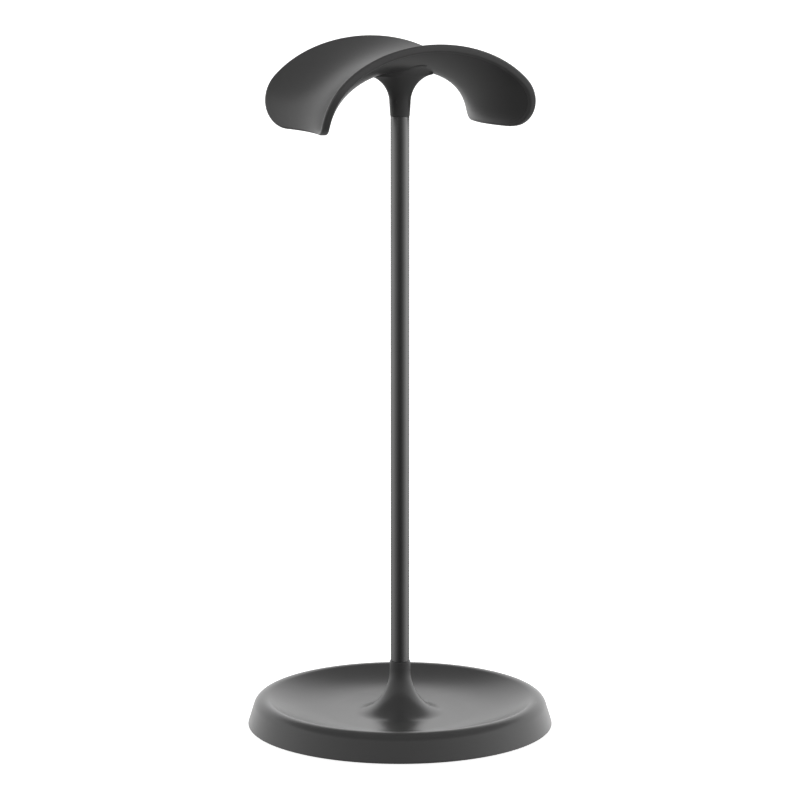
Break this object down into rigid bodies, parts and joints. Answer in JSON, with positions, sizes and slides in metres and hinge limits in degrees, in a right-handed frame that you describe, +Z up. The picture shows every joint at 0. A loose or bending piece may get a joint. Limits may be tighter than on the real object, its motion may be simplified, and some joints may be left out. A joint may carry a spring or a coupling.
{
  "type": "headphone stand",
  "caption": "Free-standing headphone stand: an arched, dished saddle on a slim round post that flares into a round weighted base with a shallow tray.",
  "frame": {"origin": "centre of the foot pad's underside, on the table under the post's axis", "axes": "+Z up along the post; +X along the saddle's arch, the way a headband curves over it; +Y across the saddle, from rim to rim"},
  "size_m": [0.136, 0.136, 0.3062],
  "materials": {
    "saddle_silicone": "matte",
    "foot_silicone": "matte",
    "base_coat": "matte",
    "post_coat": "satin",
    "neck_coat": "matte",
    "core_plastic": "matte",
    "cover_plastic": "matte",
    "ballast_iron": "rough",
    "zinc_steel": "satin",
    "black_steel": "satin",
    "plug_brass": "satin",
    "tape_film": "matte"
  },
  "bodies": {
    "root": {"foot_pad": "foot_silicone", "foot_tape": "tape_film", "bottom_cover": "cover_plastic", "cover_screws": "zinc_steel", "ballast_plate": "ballast_iron", "ballast_screws": "zinc_steel", "base_shell": "base_coat", "post_bolt": "black_steel", "post_washer": "zinc_steel", "post_lock_washer": "zinc_steel", "lower_plug": "plug_brass", "post_tube": "post_coat", "upper_plug": "plug_brass", "neck_stud": "zinc_steel", "neck": "neck_coat", "cradle_core": "core_plastic", "cradle_screws": "zinc_steel", "cradle_cover": "saddle_silicone"}
  },
  "joints": []
}
